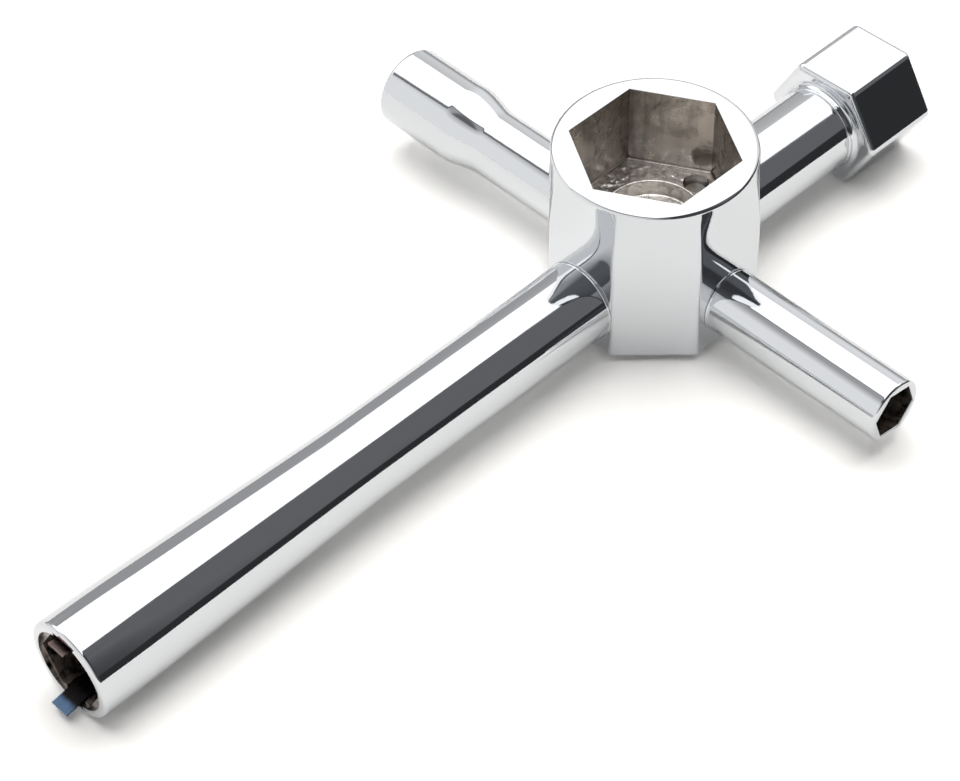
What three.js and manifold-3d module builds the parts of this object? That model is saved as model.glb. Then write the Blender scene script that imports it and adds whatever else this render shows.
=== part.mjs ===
import * as THREE from 'three';
import { mergeVertices } from 'three/addons/utils/BufferGeometryUtils.js';
import Module from 'manifold-3d';

// A four-arm glow plug wrench. Millimetres, +Z up. The hub stands on z = 0 with its axis on Z.
// The plug arm points along -Y, the short arm +X, the head arm +Y and the swaged arm -X.

// Hub: an eight-sided block with a hexagon socket in its top
const HUB_SIDES = 8;
const HUB_FLATS = 23.5;
const HUB_HEIGHT = 21.4;
const HUB_CORNER_ROUND = 0.8;
const HUB_EDGE_ROUND = 0.3;
const HUB_RIM_INSET = 0.15;
const HUB_RIM_SLOPE = 81.5;
const HUB_SOCKET_FLATS = 17;
const HUB_SOCKET_DEPTH = 10.5;
const HUB_RECESS_RADIUS = 5.5;
const HUB_RECESS_DEPTH = 2;

// Arm roots: every arm is turned down to a spigot that is pressed into the hub
const ARM_AXIS_HEIGHT = 5.6;
const SPIGOT_RADIUS = 2.6;
const SPIGOT_LENGTH = 7.45;
const SPIGOT_LEAD = 0.4;
const SHOULDER_CHAMFER = 0.25;

// Fits
const SEAT_GAP = 0.3;
const SPIGOT_CLEARANCE = 0.3;
const PIN_CLEARANCE = 0.25;
const CLIP_CLEARANCE = 0.3;
const MOUTH_CLEARANCE = 0.13;
const MOUTH_DEPTH = 0.45;

// Plug arm: straight, then a long taper up to the plug socket
const PLUG_ARM_REACH = 85.45;
const PLUG_ARM_RADIUS = 4.86;
const PLUG_TAPER_LENGTH = 32;
const PLUG_END_LENGTH = 6.95;
const PLUG_END_WALL = 1.1;
const PLUG_RIM_ROUND = 0.5;
const PLUG_FLATS = 8;
const PLUG_SOCKET_DEPTH = 11;
const PLUG_BORE_RELIEF = 0.4;
const PLUG_SLOT_RUNOUT = 1;

// Spring clip: a leaf bent into a U, with a crest and a flared tab on each leg
const CLIP_WIDTH = 2.4;
const CLIP_THICKNESS = 0.3;
const CLIP_GRIP = 0.25;
const CLIP_CREST_DEPTH = 1.6;
const CLIP_LEG_LENGTH = 20.4;
const CLIP_FLARE = 11;
const CLIP_TRAVEL = 0.3;
const CLIP_UPPER_TAB = 0.9;
const CLIP_LOWER_TAB = 1.85;

// Short arm
const SHORT_ARM_REACH = 36.1;
const SHORT_ARM_RADIUS = 3.835;
const SHORT_RIM_ROUND = 0.35;
const SHORT_FLATS = 5.5;
const SHORT_SOCKET_TURN = -10;
const SHORT_SOCKET_DEPTH = 9;
const SHORT_BORE_RADIUS = 2.5;
const SHORT_BORE_DEPTH = 15;

// Swaged arm: the end is swelled to take the larger socket
const SWAGED_ARM_REACH = 40.3;
const SWAGED_ARM_RADIUS = 4.12;
const SWAGED_END_LENGTH = 9.8;
const SWAGED_CURVE_LENGTH = 5.5;
const SWAGED_END_RADIUS = 5.02;
const SWAGED_RIM_ROUND = 0.6;
const SWAGED_FLATS = 7;
const SWAGED_SOCKET_DEPTH = 8;
const SWAGED_BORE_RADIUS = 3.2;
const SWAGED_BORE_DEPTH = 14;

// Head arm and the hexagon head pressed on its end
const HEAD_ARM_REACH = 28.4;
const HEAD_ARM_RADIUS = 5.335;
const HEAD_SPIGOT_RADIUS = 4;
const HEAD_FLATS = 14;
const HEAD_TURN = -1.5;
const HEAD_LENGTH = 10.8;
const HEAD_COLLAR = 0.7;
const HEAD_CORNER_ROUND = 0.5;
const HEAD_EDGE_ROUND = 0.35;
const HEAD_SOCKET_FLATS = 10;
const HEAD_SOCKET_DEPTH = 6.8;

// Pin that goes down through the hub floor and locks the head arm's spigot
const PIN_RADIUS = 1.25;
const PIN_OFFSET = 7.2;
const PIN_SUNK = 1.1;
const PIN_CHAMFER = 0.2;

// Facets
const HEXAGON = 6;
const ROUND_SEGMENTS = 40;
const CURVE_SEGMENTS = 5;
const EDGE_SEGMENTS = 2;
const CUT_MARGIN = 1;

// Places that follow from the sizes above
const HUB_FACE = HUB_FLATS / 2;
const HUB_FLOOR = HUB_HEIGHT - HUB_SOCKET_DEPTH;
const SHOULDER = HUB_FACE + SEAT_GAP;
const SPIGOT_END = SHOULDER - SPIGOT_LENGTH;
const SPIGOT_BORE_RADIUS = SPIGOT_RADIUS + SPIGOT_CLEARANCE;
const PIN_HOLE_RADIUS = PIN_RADIUS + PIN_CLEARANCE;
const PIN_TOP = HUB_FLOOR - PIN_SUNK;
const PIN_FOOT = ARM_AXIS_HEIGHT - SPIGOT_BORE_RADIUS + SEAT_GAP;
const PLUG_MOUTH_RADIUS = hexCorner(PLUG_FLATS) + MOUTH_CLEARANCE;
const PLUG_END_RADIUS = PLUG_MOUTH_RADIUS + PLUG_END_WALL;
const PLUG_BORE_RADIUS = PLUG_FLATS / 2 + PLUG_BORE_RELIEF;
const HEAD_COLLAR_START = HEAD_ARM_REACH + SEAT_GAP;
const HEAD_BACK = HEAD_COLLAR_START + HEAD_COLLAR;
const HEAD_FRONT = HEAD_BACK + HEAD_LENGTH;
const HEAD_SOCKET_FLOOR = HEAD_FRONT - HEAD_SOCKET_DEPTH;

// The clip seen from the side: station along the arm, height above the arm's axis
const CLIP_MIDDLE = CLIP_THICKNESS / 2;
const CLIP_CREST = PLUG_ARM_REACH - CLIP_CREST_DEPTH;
const CLIP_CREST_HEIGHT = PLUG_FLATS / 2 - CLIP_GRIP + CLIP_MIDDLE;
const CLIP_LEG_START = CLIP_CREST - CLIP_LEG_LENGTH;
const CLIP_BEND_CENTRE = CLIP_LEG_START - SEAT_GAP;
const CLIP_BEND_OUTSIDE = Math.sqrt((PLUG_BORE_RADIUS - CLIP_CLEARANCE) ** 2 - (CLIP_WIDTH / 2) ** 2);
const CLIP_BEND_RADIUS = CLIP_BEND_OUTSIDE - CLIP_MIDDLE;
const CLIP_FLARE_RISE = Math.tan(THREE.MathUtils.degToRad(CLIP_FLARE));
const CLIP_SPREAD = CLIP_TRAVEL * (1 + CLIP_CREST_DEPTH / CLIP_LEG_LENGTH);
const CLIP_MOUTH_HEIGHT = CLIP_CREST_HEIGHT + CLIP_FLARE_RISE * CLIP_CREST_DEPTH + CLIP_MIDDLE;
const PLUG_SLOT_REACH = CLIP_MOUTH_HEIGHT + CLIP_SPREAD + CLIP_CLEARANCE;
const PLUG_SLOT_WIDTH = CLIP_WIDTH + 2 * CLIP_CLEARANCE;
const PLUG_BORE_END = CLIP_BEND_CENTRE - CLIP_BEND_OUTSIDE - CLIP_CLEARANCE;

// Finishes
const CHROME = { color: 0xdcdddf, roughness: 0.06, metalness: 1 };
const BLUED_STEEL = { color: 0x4d6f9e, roughness: 0.32, metalness: 1 };
const BARE_STEEL = { color: 0x8b8782, roughness: 0.4, metalness: 1 };

const wasm = await Module();
wasm.setup();

function hexCorner(flats) {
  return flats / 2 / Math.cos(Math.PI / HEXAGON);
}

// A closed geometry as a solid that can be joined and cut
function solid(geometry) {
  geometry.deleteAttribute('normal');
  geometry.deleteAttribute('uv');
  const merged = mergeVertices(geometry);
  const index = merged.index.array;
  const triangles = [];
  for (let i = 0; i < index.length; i += 3) {
    const [a, b, c] = index.subarray(i, i + 3);
    if (a !== b && b !== c && c !== a) triangles.push(a, b, c);
  }
  return new wasm.Manifold(new wasm.Mesh({
    numProp: 3,
    vertProperties: new Float32Array(merged.attributes.position.array),
    triVerts: new Uint32Array(triangles),
  }));
}

function piece(name, body, finish) {
  const { vertProperties, triVerts } = body.getMesh();
  const geometry = new THREE.BufferGeometry();
  geometry.setAttribute('position', new THREE.BufferAttribute(vertProperties, 3));
  geometry.setIndex(new THREE.BufferAttribute(triVerts, 1));
  geometry.computeVertexNormals();
  const mesh = new THREE.Mesh(geometry, new THREE.MeshStandardMaterial(finish));
  mesh.name = name;
  return mesh;
}

// Turned along +Y from a profile of (radius, station) that starts and ends on the axis
function turned(path) {
  return solid(new THREE.LatheGeometry(path.getPoints(CURVE_SEGMENTS), ROUND_SEGMENTS));
}

function rod(radius, from, to) {
  const geometry = new THREE.CylinderGeometry(radius, radius, to - from, ROUND_SEGMENTS);
  return geometry.translate(0, (from + to) / 2, 0);
}

// The same rod standing upright on (0, offset)
function uprightRod(radius, offset, from, to) {
  return solid(rod(radius, from, to).rotateX(Math.PI / 2).translate(0, offset, 0));
}

// A regular polygon with one flat square to +X before the turn, its corners rounded
function polygon(sides, flats, turn = 0, round = 0) {
  const half = Math.PI / sides;
  const corner = flats / 2 * Math.tan(half);
  const straight = corner - round * Math.tan(half);
  const centre = new THREE.Vector2();
  const firstAngle = THREE.MathUtils.degToRad(turn);
  const spot = (side, along) => new THREE.Vector2(flats / 2, along)
    .rotateAround(centre, firstAngle + 2 * half * side);
  const shape = new THREE.Shape();
  shape.moveTo(...spot(0, straight));
  for (let side = 0; side < sides; side += 1) {
    if (side > 0) shape.lineTo(...spot(side, straight));
    if (round > 0) shape.quadraticCurveTo(...spot(side, corner), ...spot(side + 1, -straight));
  }
  return shape;
}

function extruded(shape, length, edge = 0) {
  return new THREE.ExtrudeGeometry(shape, {
    depth: length - 2 * edge,
    bevelEnabled: edge > 0,
    bevelThickness: edge,
    bevelSize: edge,
    bevelOffset: -edge,
    bevelSegments: EDGE_SEGMENTS,
    curveSegments: EDGE_SEGMENTS,
  }).translate(0, 0, edge);
}

// Lays a section across an arm: the section's X is up, and its length runs along +Y
const ACROSS_ARM = new THREE.Matrix4().makeBasis(
  new THREE.Vector3(0, 0, 1),
  new THREE.Vector3(1, 0, 0),
  new THREE.Vector3(0, 1, 0),
);

// Lays a side view along an arm: its X is the station, its Y is up, and its width is centred
const ALONG_ARM = new THREE.Matrix4().makeBasis(
  new THREE.Vector3(0, 1, 0),
  new THREE.Vector3(0, 0, 1),
  new THREE.Vector3(1, 0, 0),
);

function hexRod(flats, turn, from, to) {
  const bar = extruded(polygon(HEXAGON, flats, turn), to - from);
  return solid(bar.applyMatrix4(ACROSS_ARM).translate(0, from, 0));
}

function leaf(shape, width) {
  return solid(extruded(shape, width).translate(0, 0, -width / 2).applyMatrix4(ALONG_ARM));
}

// A broached hexagon behind a short round mouth, with a drilled bore beyond it
function socket(end, flats, turn, depth, boreRadius, boreEnd) {
  const mouth = solid(rod(hexCorner(flats) + MOUTH_CLEARANCE, end - MOUTH_DEPTH, end + CUT_MARGIN));
  const hexagon = hexRod(flats, turn, end - depth, end);
  const bore = solid(rod(boreRadius, boreEnd, end - MOUTH_DEPTH));
  return mouth.add(hexagon).add(bore);
}

// The spigot, its shoulder and the shoulder's chamfer, where every arm's profile begins
function rootedProfile(radius) {
  const path = new THREE.Path();
  path.moveTo(0, SPIGOT_END);
  path.lineTo(SPIGOT_RADIUS - SPIGOT_LEAD, SPIGOT_END);
  path.lineTo(SPIGOT_RADIUS, SPIGOT_END + SPIGOT_LEAD);
  path.lineTo(SPIGOT_RADIUS, SHOULDER);
  path.lineTo(radius - SHOULDER_CHAMFER, SHOULDER);
  path.lineTo(radius, SHOULDER + SHOULDER_CHAMFER);
  return path;
}

// A cylinder up to the end of an arm, with a rounded rim
function roundedEnd(path, radius, end, round) {
  path.lineTo(radius, end - round);
  path.quadraticCurveTo(radius, end, radius - round, end);
  path.lineTo(0, end);
}

function makeHub() {
  const section = polygon(HUB_SIDES, HUB_FLATS, 0, HUB_CORNER_ROUND);
  const block = solid(extruded(section, HUB_HEIGHT, HUB_EDGE_ROUND));
  const slope = Math.tan(THREE.MathUtils.degToRad(HUB_RIM_SLOPE));
  const rim = HUB_FACE - HUB_RIM_INSET;
  const corner = HUB_FACE / Math.cos(Math.PI / HUB_SIDES);
  const turning = new THREE.Path();
  turning.moveTo(0, -CUT_MARGIN);
  turning.lineTo(corner, -CUT_MARGIN);
  turning.lineTo(corner, HUB_HEIGHT - (corner - rim) * slope);
  turning.lineTo(0, HUB_HEIGHT + rim * slope);
  const cone = solid(
    new THREE.LatheGeometry(turning.getPoints(), 2 * ROUND_SEGMENTS).rotateX(Math.PI / 2),
  );
  const hexagon = extruded(polygon(HEXAGON, HUB_SOCKET_FLATS), HUB_SOCKET_DEPTH + CUT_MARGIN);
  let hub = block.intersect(cone).subtract(solid(hexagon.translate(0, 0, HUB_FLOOR)));
  hub = hub.subtract(uprightRod(HUB_RECESS_RADIUS, 0, HUB_FLOOR - HUB_RECESS_DEPTH, HUB_HEIGHT));
  hub = hub.subtract(uprightRod(PIN_HOLE_RADIUS, PIN_OFFSET, PIN_FOOT - SEAT_GAP, HUB_FLOOR + CUT_MARGIN));
  for (const turn of Object.values(ARM_TURNS)) {
    const bore = rod(SPIGOT_BORE_RADIUS, SPIGOT_END - SEAT_GAP, HUB_FLATS);
    hub = hub.subtract(solid(bore.rotateZ(turn).translate(0, 0, ARM_AXIS_HEIGHT)));
  }
  return piece('hub', hub, CHROME);
}

function makePlugArm() {
  const path = rootedProfile(PLUG_ARM_RADIUS);
  const taperEnd = PLUG_ARM_REACH - PLUG_END_LENGTH;
  path.lineTo(PLUG_ARM_RADIUS, taperEnd - PLUG_TAPER_LENGTH);
  path.lineTo(PLUG_END_RADIUS, taperEnd);
  roundedEnd(path, PLUG_END_RADIUS, PLUG_ARM_REACH, PLUG_RIM_ROUND);
  const cut = socket(PLUG_ARM_REACH, PLUG_FLATS, 0, PLUG_SOCKET_DEPTH, PLUG_BORE_RADIUS, PLUG_BORE_END);
  const slotLength = PLUG_SOCKET_DEPTH + PLUG_SLOT_RUNOUT;
  const slots = new THREE.BoxGeometry(PLUG_SLOT_WIDTH, slotLength + CUT_MARGIN, 2 * PLUG_SLOT_REACH);
  slots.translate(0, PLUG_ARM_REACH + (CUT_MARGIN - slotLength) / 2, 0);
  return piece('plug_arm', turned(path).subtract(cut).subtract(solid(slots)), CHROME);
}

// One leg of the clip, on the side that up gives: straight to the crest, then flared out
function makeClipLeg(name, up, tab) {
  const end = PLUG_ARM_REACH + tab;
  const endHeight = CLIP_CREST_HEIGHT + CLIP_FLARE_RISE * (end - CLIP_CREST);
  const shape = new THREE.Shape();
  shape.moveTo(CLIP_LEG_START, CLIP_BEND_RADIUS - CLIP_MIDDLE);
  shape.lineTo(CLIP_CREST, CLIP_CREST_HEIGHT - CLIP_MIDDLE);
  shape.lineTo(end, endHeight - CLIP_MIDDLE);
  shape.lineTo(end, endHeight + CLIP_MIDDLE);
  shape.lineTo(CLIP_CREST, CLIP_CREST_HEIGHT + CLIP_MIDDLE);
  shape.lineTo(CLIP_LEG_START, CLIP_BEND_RADIUS + CLIP_MIDDLE);
  const mesh = piece(name, leaf(shape, CLIP_WIDTH), BLUED_STEEL);
  if (!up) mesh.rotation.y = Math.PI;
  return mesh;
}

function makeClipBend() {
  const shape = new THREE.Shape();
  const back = [Math.PI / 2, 1.5 * Math.PI];
  shape.absarc(CLIP_BEND_CENTRE, 0, CLIP_BEND_OUTSIDE, back[0], back[1], false);
  shape.absarc(CLIP_BEND_CENTRE, 0, CLIP_BEND_OUTSIDE - CLIP_THICKNESS, back[1], back[0], true);
  const geometry = new THREE.ExtrudeGeometry(shape, {
    depth: CLIP_WIDTH,
    bevelEnabled: false,
    curveSegments: ROUND_SEGMENTS / 4,
  });
  const bend = geometry.translate(0, 0, -CLIP_WIDTH / 2).applyMatrix4(ALONG_ARM);
  return piece('clip_bend', solid(bend), BLUED_STEEL);
}

function makeShortArm() {
  const path = rootedProfile(SHORT_ARM_RADIUS);
  roundedEnd(path, SHORT_ARM_RADIUS, SHORT_ARM_REACH, SHORT_RIM_ROUND);
  const boreEnd = SHORT_ARM_REACH - SHORT_BORE_DEPTH;
  const cut = socket(
    SHORT_ARM_REACH, SHORT_FLATS, SHORT_SOCKET_TURN, SHORT_SOCKET_DEPTH, SHORT_BORE_RADIUS, boreEnd,
  );
  return piece('short_arm', turned(path).subtract(cut), CHROME);
}

function makeSwagedArm() {
  const path = rootedProfile(SWAGED_ARM_RADIUS);
  const curveEnd = SWAGED_ARM_REACH - SWAGED_END_LENGTH;
  const curveStart = curveEnd - SWAGED_CURVE_LENGTH;
  const middle = (curveStart + curveEnd) / 2;
  path.lineTo(SWAGED_ARM_RADIUS, curveStart);
  path.bezierCurveTo(
    SWAGED_ARM_RADIUS, middle, SWAGED_END_RADIUS, middle, SWAGED_END_RADIUS, curveEnd,
  );
  roundedEnd(path, SWAGED_END_RADIUS, SWAGED_ARM_REACH, SWAGED_RIM_ROUND);
  const boreEnd = SWAGED_ARM_REACH - SWAGED_BORE_DEPTH;
  const cut = socket(SWAGED_ARM_REACH, SWAGED_FLATS, 0, SWAGED_SOCKET_DEPTH, SWAGED_BORE_RADIUS, boreEnd);
  return piece('swaged_arm', turned(path).subtract(cut), CHROME);
}

// The shank between two spigots, with the lock pin's hole through the inner one
function makeHeadArm() {
  const path = rootedProfile(HEAD_ARM_RADIUS);
  path.lineTo(HEAD_ARM_RADIUS, HEAD_ARM_REACH - SHOULDER_CHAMFER);
  path.lineTo(HEAD_ARM_RADIUS - SHOULDER_CHAMFER, HEAD_ARM_REACH);
  path.lineTo(HEAD_SPIGOT_RADIUS, HEAD_ARM_REACH);
  path.lineTo(HEAD_SPIGOT_RADIUS, HEAD_SOCKET_FLOOR - SEAT_GAP);
  path.lineTo(0, HEAD_SOCKET_FLOOR - SEAT_GAP);
  const hole = uprightRod(PIN_HOLE_RADIUS, PIN_OFFSET, -HEAD_ARM_RADIUS, HEAD_ARM_RADIUS);
  return piece('head_arm', turned(path).subtract(hole), CHROME);
}

// The hexagon, with a filleted collar that carries on from the shank
function makeHexHead() {
  const section = polygon(HEXAGON, HEAD_FLATS, HEAD_TURN, HEAD_CORNER_ROUND);
  const block = extruded(section, HEAD_LENGTH, HEAD_EDGE_ROUND);
  const hexagon = solid(block.applyMatrix4(ACROSS_ARM).translate(0, HEAD_BACK, 0));
  const path = new THREE.Path();
  path.moveTo(0, HEAD_COLLAR_START);
  path.lineTo(HEAD_ARM_RADIUS, HEAD_COLLAR_START);
  path.quadraticCurveTo(HEAD_ARM_RADIUS, HEAD_BACK, HEAD_ARM_RADIUS + HEAD_COLLAR, HEAD_BACK);
  path.lineTo(HEAD_ARM_RADIUS + HEAD_COLLAR, HEAD_SOCKET_FLOOR);
  path.lineTo(0, HEAD_SOCKET_FLOOR);
  const bore = HEAD_SPIGOT_RADIUS + SPIGOT_CLEARANCE;
  const cut = socket(
    HEAD_FRONT, HEAD_SOCKET_FLATS, HEAD_TURN, HEAD_SOCKET_DEPTH, bore, HEAD_COLLAR_START - CUT_MARGIN,
  );
  return piece('hex_head', hexagon.add(turned(path)).subtract(cut), CHROME);
}

function makeLockPin() {
  const path = new THREE.Path();
  path.moveTo(0, PIN_FOOT);
  path.lineTo(PIN_RADIUS - PIN_CHAMFER, PIN_FOOT);
  path.lineTo(PIN_RADIUS, PIN_FOOT + PIN_CHAMFER);
  path.lineTo(PIN_RADIUS, PIN_TOP - PIN_CHAMFER);
  path.lineTo(PIN_RADIUS - PIN_CHAMFER, PIN_TOP);
  path.lineTo(0, PIN_TOP);
  const mesh = piece('lock_pin', turned(path), BARE_STEEL);
  mesh.rotation.x = Math.PI / 2;
  mesh.position.y = PIN_OFFSET;
  return mesh;
}

// Each arm is built along +Y and turned about the hub's axis
const ARM_TURNS = { plug: Math.PI, short: -Math.PI / 2, head: 0, swaged: Math.PI / 2 };

function mountArm(turn, ...pieces) {
  const group = new THREE.Group();
  group.position.z = ARM_AXIS_HEIGHT;
  group.rotation.z = turn;
  group.add(...pieces);
  return group;
}

const wrench = new THREE.Group();
wrench.add(
  makeHub(),
  makeLockPin(),
  mountArm(
    ARM_TURNS.plug,
    makePlugArm(),
    makeClipBend(),
    makeClipLeg('clip_leg_upper', true, CLIP_UPPER_TAB),
    makeClipLeg('clip_leg_lower', false, CLIP_LOWER_TAB),
  ),
  mountArm(ARM_TURNS.short, makeShortArm()),
  mountArm(ARM_TURNS.head, makeHeadArm(), makeHexHead()),
  mountArm(ARM_TURNS.swaged, makeSwagedArm()),
);

export default wrench;
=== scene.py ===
"""Looks of a four-arm chrome glow plug wrench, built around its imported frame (metres, +Z up)."""

import math

import bmesh
import bpy
from mathutils import Matrix, Vector, noise


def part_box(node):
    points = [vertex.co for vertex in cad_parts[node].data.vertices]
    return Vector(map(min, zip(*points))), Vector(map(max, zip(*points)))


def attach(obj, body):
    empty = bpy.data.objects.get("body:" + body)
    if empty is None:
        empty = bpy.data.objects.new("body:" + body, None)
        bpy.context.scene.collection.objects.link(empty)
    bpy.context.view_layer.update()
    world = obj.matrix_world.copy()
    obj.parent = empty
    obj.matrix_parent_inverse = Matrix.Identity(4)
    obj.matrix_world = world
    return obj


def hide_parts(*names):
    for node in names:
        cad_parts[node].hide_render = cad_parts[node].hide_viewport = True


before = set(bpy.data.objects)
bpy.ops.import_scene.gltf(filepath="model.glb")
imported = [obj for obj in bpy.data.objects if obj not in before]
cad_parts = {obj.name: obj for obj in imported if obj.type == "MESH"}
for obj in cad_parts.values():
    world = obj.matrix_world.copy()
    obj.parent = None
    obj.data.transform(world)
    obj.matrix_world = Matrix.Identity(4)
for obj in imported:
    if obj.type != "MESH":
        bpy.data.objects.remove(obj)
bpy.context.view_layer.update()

bl_info = {
    "name": "Glow Plug Wrench",
    "version": (1, 0, 0),
    "blender": (4, 5, 0),
    "location": "View3D > Sidebar > Wrench",
    "description": "Builds a four-arm chrome glow plug wrench and its studio",
    "category": "Add Mesh",
}

# Boxes of the frame's nodes, which give the outer sizes
HUB_LOW, HUB_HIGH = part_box("hub")
PLUG_LOW, PLUG_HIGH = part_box("plug_arm")
SHORT_LOW, SHORT_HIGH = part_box("short_arm")
SWAGED_LOW, SWAGED_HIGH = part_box("swaged_arm")
_, SHANK_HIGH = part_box("head_arm")
_, HEAD_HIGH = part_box("hex_head")
PIN_LOW, PIN_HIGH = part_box("lock_pin")
BEND_LOW, BEND_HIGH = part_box("clip_bend")
UPPER_LOW, UPPER_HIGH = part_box("clip_leg_upper")
PIN_AXIS = Matrix.Translation(((PIN_LOW.x + PIN_HIGH.x) / 2, (PIN_LOW.y + PIN_HIGH.y) / 2, 0))

MM = 0.001

# Directions of the four arms
PLUG_WAY, SHORT_WAY, HEAD_WAY, SWAGED_WAY = (0, -1, 0), (1, 0, 0), (0, 1, 0), (-1, 0, 0)

# Room below the lock pin in the hub's floor and in the shank
HUB_PIN_ROOM = 1.0 * MM
SHANK_PIN_ROOM = 0.25 * MM

# Grain of the cast floor: waves per metre, the fine waves' shift and share, and how fast it fades at an edge
BROAD_GRAIN = 900
FINE_GRAIN = 2600
FINE_SHIFT = Vector((7, 3, 1))
FINE_SHARE = 0.7
GRAIN_FADE = 4

# Where painted shade turns the clip's legs dark deeper in the socket, as distances beyond the crests
UPPER_PAINTED_SHADE = (1.7 * MM, 0.0)
LOWER_PAINTED_SHADE = (2.7 * MM, 1.9 * MM)

# Fineness of the surfaces
ROUND_POINTS = 240
CORNER_POINTS = 6
ARC_STEPS = 6
BLEND_STEPS = 16
FLOOR_RINGS = 22
FLARE_RINGS = 20
STRIP_STEPS = 48
SHARP_ANGLE = math.radians(26)

# Order of the material slots on each piece
OUTSIDE, INSIDE, CAST = 0, 1, 2

HEXAGON = 6
OCTAGON = 8
QUARTER = math.pi / 2


def length(name, description, default):
    """A size in metres."""
    return bpy.props.FloatProperty(name=name, description=description, default=default, unit="LENGTH", precision=5)


def turn(name, description, degrees):
    """An angle, given in degrees."""
    return bpy.props.FloatProperty(
        name=name, description=description, default=math.radians(degrees), subtype="ANGLE", unit="ROTATION"
    )


def factor(name, description, default):
    """A plain ratio."""
    return bpy.props.FloatProperty(name=name, description=description, default=default, subtype="FACTOR")


def colour(name, description, default):
    """A linear colour."""
    return bpy.props.FloatVectorProperty(
        name=name, description=description, default=default, size=3, min=0.0, max=1.0, subtype="COLOR"
    )


class HubSizes(bpy.types.PropertyGroup):
    """Sizes of the eight-sided hub."""

    flats: length("Across Facets", "Distance between opposite facets", HUB_HIGH.x - HUB_LOW.x)
    height: length("Height", "Height of the hub", HUB_HIGH.z)
    corner_round: length("Corner Round", "Radius of the eight upright edges", 0.7 * MM)
    base_round: length("Base Round", "Radius of the lower edge", 0.3 * MM)
    rim_inset: length("Rim Inset", "How far the round rim lies inside the facets", 0.12 * MM)
    flare_height: length("Flare Height", "Height over which the corners pass into the round rim", 8.5 * MM)
    flare_power: factor("Flare Power", "How late the corners pass into the round rim", 1.7)
    rim_round: length("Rim Round", "Radius of the rim's edge", 0.5 * MM)
    mouth_round: length("Mouth Round", "Radius of the socket's upper edge", 0.08 * MM)
    socket_flats: length("Socket Across Flats", "Width of the hexagon socket", 17 * MM)
    socket_depth: length("Socket Depth", "Depth of the hexagon socket", 10.5 * MM)
    floor_bead: length("Floor Bead", "Radius of the fillet round the socket floor", 0.3 * MM)
    recess_radius: length("Recess Radius", "Radius of the round recess in the floor", 5.5 * MM)
    recess_depth: length("Recess Depth", "Depth of the round recess", 2 * MM)
    recess_lip: length("Recess Lip", "Radius of the recess's bright upper edge", 0.22 * MM)
    grain: length("Grain", "Height of the rough cast floor's grain", 0.09 * MM)
    bore_radius: length("Bore Radius", "Radius of the bores that take the arms", 2.9 * MM)
    bore_end: length("Bore End", "Distance of the bores' ends from the hub's axis", 4.3 * MM)
    pin_hole_radius: length("Pin Hole Radius", "Radius of the lock pin's hole", 1.5 * MM)


class ArmSizes(bpy.types.PropertyGroup):
    """Sizes that the four arms share."""

    axis_height: length("Axis Height", "Height of the arms' axes", (SHORT_LOW.z + SHORT_HIGH.z) / 2)
    seat: length("Seat", "Play between a shoulder and its facet", 0.006 * MM)
    spigot_end: length("Spigot End", "Distance of the spigots' ends from the hub's axis", SHORT_LOW.x)
    spigot_radius: length("Spigot Radius", "Radius of the spigots", 2.6 * MM)
    spigot_lead: length("Spigot Lead", "Chamfer of the spigots' ends", 0.4 * MM)
    shoulder_round: length("Shoulder Round", "Radius of the shoulders' edges", 0.2 * MM)
    bead: length("Bead", "Radius of the bead of plating round each joint", 0.13 * MM)
    bead_sunk: factor("Bead Sunk", "Share of the bead's radius that lies in the arm", 0.4)
    mouth_round: length("Mouth Round", "Radius of the sockets' outer edges", 0.07 * MM)


class PlugArmSizes(bpy.types.PropertyGroup):
    """Sizes of the long arm with the glow plug socket."""

    reach: length("Reach", "Distance of the mouth from the hub's axis", -PLUG_LOW.y)
    radius: length("Radius", "Radius of the straight shank", 4.86 * MM)
    end_radius: length("End Radius", "Radius of the widened end", PLUG_HIGH.x)
    end_length: length("End Length", "Length of the widened end", 6.95 * MM)
    taper_length: length("Taper Length", "Length of the taper", 32 * MM)
    taper_blend: length("Taper Blend", "Half length of the curve at each end of the taper", 3 * MM)
    rim_round: length("Rim Round", "Radius of the mouth's outer edge", 0.5 * MM)
    mouth_radius: length("Mouth Radius", "Radius of the counterbore", 4.749 * MM)
    mouth_depth: length("Mouth Depth", "Depth of the counterbore", 0.45 * MM)
    flats: length("Socket Across Flats", "Width of the hexagon socket", 8 * MM)
    depth: length("Socket Depth", "Depth of the hexagon socket", 11 * MM)
    slot_width: length("Slot Width", "Width of the slots for the clip's legs", 3 * MM)
    slot_reach: length("Slot Reach", "Reach of the slots from the arm's axis", 4.985 * MM)
    bore_radius: length("Bore Radius", "Radius of the bore behind the socket", 4.4 * MM)
    bore_end: length("Bore End", "Distance of the bore's end from the hub's axis", 58.93 * MM)


class ShortArmSizes(bpy.types.PropertyGroup):
    """Sizes of the thin arm with the small nut socket."""

    reach: length("Reach", "Distance of the mouth from the hub's axis", SHORT_HIGH.x)
    radius: length("Radius", "Radius of the arm", SHORT_HIGH.y)
    rim_round: length("Rim Round", "Radius of the mouth's outer edge", 0.35 * MM)
    flats: length("Socket Across Flats", "Width of the hexagon socket", 5.5 * MM)
    socket_turn: turn("Socket Turn", "Turn of the hexagon about the arm", -10)
    depth: length("Socket Depth", "Depth of the hexagon socket", 9 * MM)
    lip_round: length("Lip Round", "Radius of the socket's outer edge", 0.14 * MM)
    bore_radius: length("Bore Radius", "Radius of the bore behind the socket", 2.5 * MM)
    bore_depth: length("Bore Depth", "Depth of that bore from the mouth", 15 * MM)


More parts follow.
